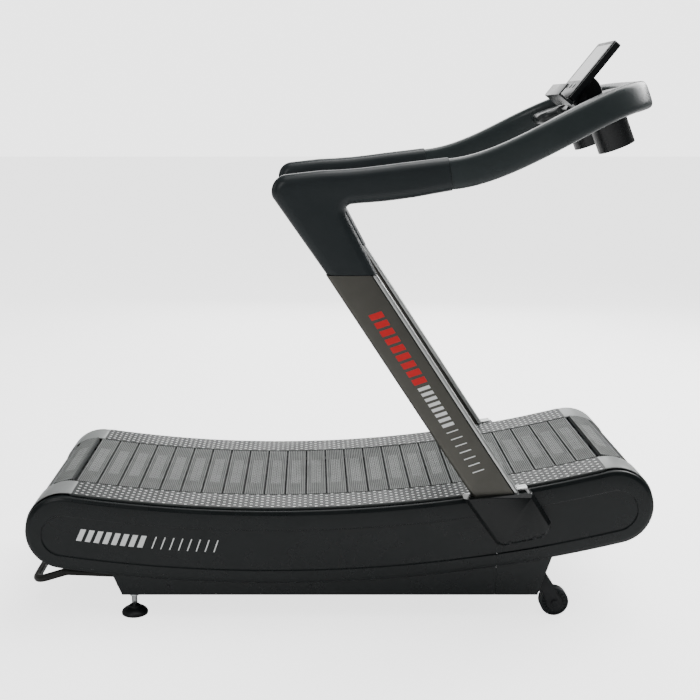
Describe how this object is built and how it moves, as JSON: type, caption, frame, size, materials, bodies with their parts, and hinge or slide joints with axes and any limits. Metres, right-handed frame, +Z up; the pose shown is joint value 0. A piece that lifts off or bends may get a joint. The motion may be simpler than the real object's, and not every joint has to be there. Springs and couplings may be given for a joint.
{
  "type": "curved manual treadmill",
  "caption": "Self-powered treadmill with a concave slat belt, leaning posts, a looped handrail and a tilting console.",
  "frame": {"origin": "on the floor, at the middle of the machine's length and width", "axes": "+X forward, the way the runner faces; +Y to the runner's left; +Z up"},
  "size_m": [1.8008, 0.8, 1.6256],
  "materials": {
    "frame_steel": "black powder coat",
    "plate_steel": "dark grey powder coat",
    "bearing_steel": "machined",
    "roller_steel": "ground",
    "cover_plastic": "satin charcoal moulded shell",
    "strip_plastic": "grey anti-slip with raised dots",
    "cap_plastic": "smooth light grey satin",
    "post_metal": "bronze grey metallic with bright front edge",
    "boot_plastic": "black satin moulding",
    "bright_metal": "bright brushed",
    "grip_rubber": "dark satin grip sleeve",
    "rail_plastic": "dark slate soft touch",
    "tray_plastic": "dark slate satin",
    "pin_steel": "turned",
    "bracket_steel": "black powder coat",
    "bolt_steel": "zinc plated",
    "screw_steel": "blackened",
    "slat_metal": "extruded",
    "tread_rubber": "ribbed mid grey",
    "belt_rubber": "reinforced black",
    "drum_metal": "turned",
    "wheel_rubber": "grey tread on a spoked hub",
    "chrome": "polished",
    "pad_rubber": "black",
    "display_plastic": "dark slate satin",
    "screen_glass": "dark panel",
    "ledge_plastic": "dark grey",
    "key_plastic": "light grey"
  },
  "bodies": {
    "frame": {"base_rails": "frame_steel", "cross_beams": "frame_steel", "side_plate_right": "plate_steel", "side_plate_left": "plate_steel", "frame_tubes": "plate_steel", "drum_bearings": "bearing_steel", "track_rollers": "roller_steel", "cover_rear_right": "cover_plastic", "cover_front_right": "cover_plastic", "cover_rear_left": "cover_plastic", "cover_front_left": "cover_plastic", "step_strip_right": "strip_plastic", "step_strip_left": "strip_plastic", "rear_caps": "cap_plastic", "front_caps": "cap_plastic", "post_right": "post_metal", "post_left": "post_metal", "boot_right": "boot_plastic", "boot_left": "boot_plastic", "post_shoes": "bright_metal", "grip_right": "grip_rubber", "grip_left": "grip_rubber", "handrail_right": "rail_plastic", "handrail_left": "rail_plastic", "handrail_front": "rail_plastic", "console_tray": "tray_plastic", "tray_hinge": "pin_steel", "cup_right": "tray_plastic", "cup_left": "tray_plastic", "wheel_brackets": "bracket_steel", "wheel_bolts": "bolt_steel", "lift_handle": "bracket_steel", "cover_screws": "screw_steel", "post_bolts": "bolt_steel"},
    "upper_run": {"upper_slats": "slat_metal", "upper_treads": "tread_rubber", "upper_belts": "belt_rubber"},
    "rear_roller": {"rear_slats": "slat_metal", "rear_treads": "tread_rubber", "rear_belts": "belt_rubber", "rear_drum": "drum_metal"},
    "front_roller": {"front_slats": "slat_metal", "front_treads": "tread_rubber", "front_belts": "belt_rubber", "front_drum": "drum_metal"},
    "lower_run": {"lower_slats": "slat_metal", "lower_treads": "tread_rubber", "lower_belts": "belt_rubber"},
    "right_wheel": {"wheel_right": "wheel_rubber"},
    "left_wheel": {"wheel_left": "wheel_rubber"},
    "right_foot": {"foot_stud_right": "chrome", "foot_pad_right": "pad_rubber"},
    "left_foot": {"foot_stud_left": "chrome", "foot_pad_left": "pad_rubber"},
    "display": {"display_housing": "display_plastic", "display_screen": "screen_glass", "reading_ledge": "ledge_plastic"},
    "up_key": {"key_up": "key_plastic"},
    "down_key": {"key_down": "key_plastic"},
    "reset_key": {"key_reset": "key_plastic"}
  },
  "joints": [
    {"name": "belt_travel", "type": "hinge", "parent": "frame", "child": "upper_run", "pos_m": [-0.188, 0, 4.2208], "axis": [0, 1, 0], "range_deg": [-0.45, 0.45]},
    {"name": "rear_roller_spin", "type": "hinge", "parent": "frame", "child": "rear_roller", "pos_m": [-0.77731, 0, 0.27762], "axis": [0, 1, 0], "range_deg": [-22.6, 22.6]},
    {"name": "front_roller_spin", "type": "hinge", "parent": "frame", "child": "front_roller", "pos_m": [0.77654, 0, 0.35225], "axis": [0, 1, 0], "range_deg": [-22.6, 22.6]},
    {"name": "belt_return", "type": "hinge", "parent": "frame", "child": "lower_run", "pos_m": [-0.188, 0, 4.2208], "axis": [0, 1, 0], "range_deg": [-0.44, 0.44]},
    {"name": "right_wheel_spin", "type": "hinge", "parent": "frame", "child": "right_wheel", "pos_m": [0.625, -0.3, 0.041], "axis": [0, 1, 0], "continuous": true},
    {"name": "left_wheel_spin", "type": "hinge", "parent": "frame", "child": "left_wheel", "pos_m": [0.625, 0.3, 0.041], "axis": [0, 1, 0], "continuous": true},
    {"name": "right_foot_level", "type": "slide", "parent": "frame", "child": "right_foot", "axis": [0, 0, 1], "range_m": [-0.012, 0.006]},
    {"name": "left_foot_level", "type": "slide", "parent": "frame", "child": "left_foot", "axis": [0, 0, 1], "range_m": [-0.012, 0.006]},
    {"name": "display_tilt", "type": "hinge", "parent": "frame", "child": "display", "pos_m": [0.698, 0, 1.475], "axis": [0, 1, 0], "range_deg": [-12, 20]},
    {"name": "up_key_press", "type": "slide", "parent": "display", "child": "up_key", "axis": [0.7826, 0, -0.6225], "range_m": [0, 0.0012], "stiffness_N_per_m": 600},
    {"name": "down_key_press", "type": "slide", "parent": "display", "child": "down_key", "axis": [0.7826, 0, -0.6225], "range_m": [0, 0.0012], "stiffness_N_per_m": 600},
    {"name": "reset_key_press", "type": "slide", "parent": "display", "child": "reset_key", "axis": [0.7826, 0, -0.6225], "range_m": [0, 0.0012], "stiffness_N_per_m": 600}
  ],
  "couplings": [
    {"joint": "rear_roller_spin", "follows": "belt_travel", "ratio": -50},
    {"joint": "front_roller_spin", "follows": "belt_travel", "ratio": -50},
    {"joint": "belt_return", "follows": "belt_travel", "ratio": -0.96154}
  ]
}
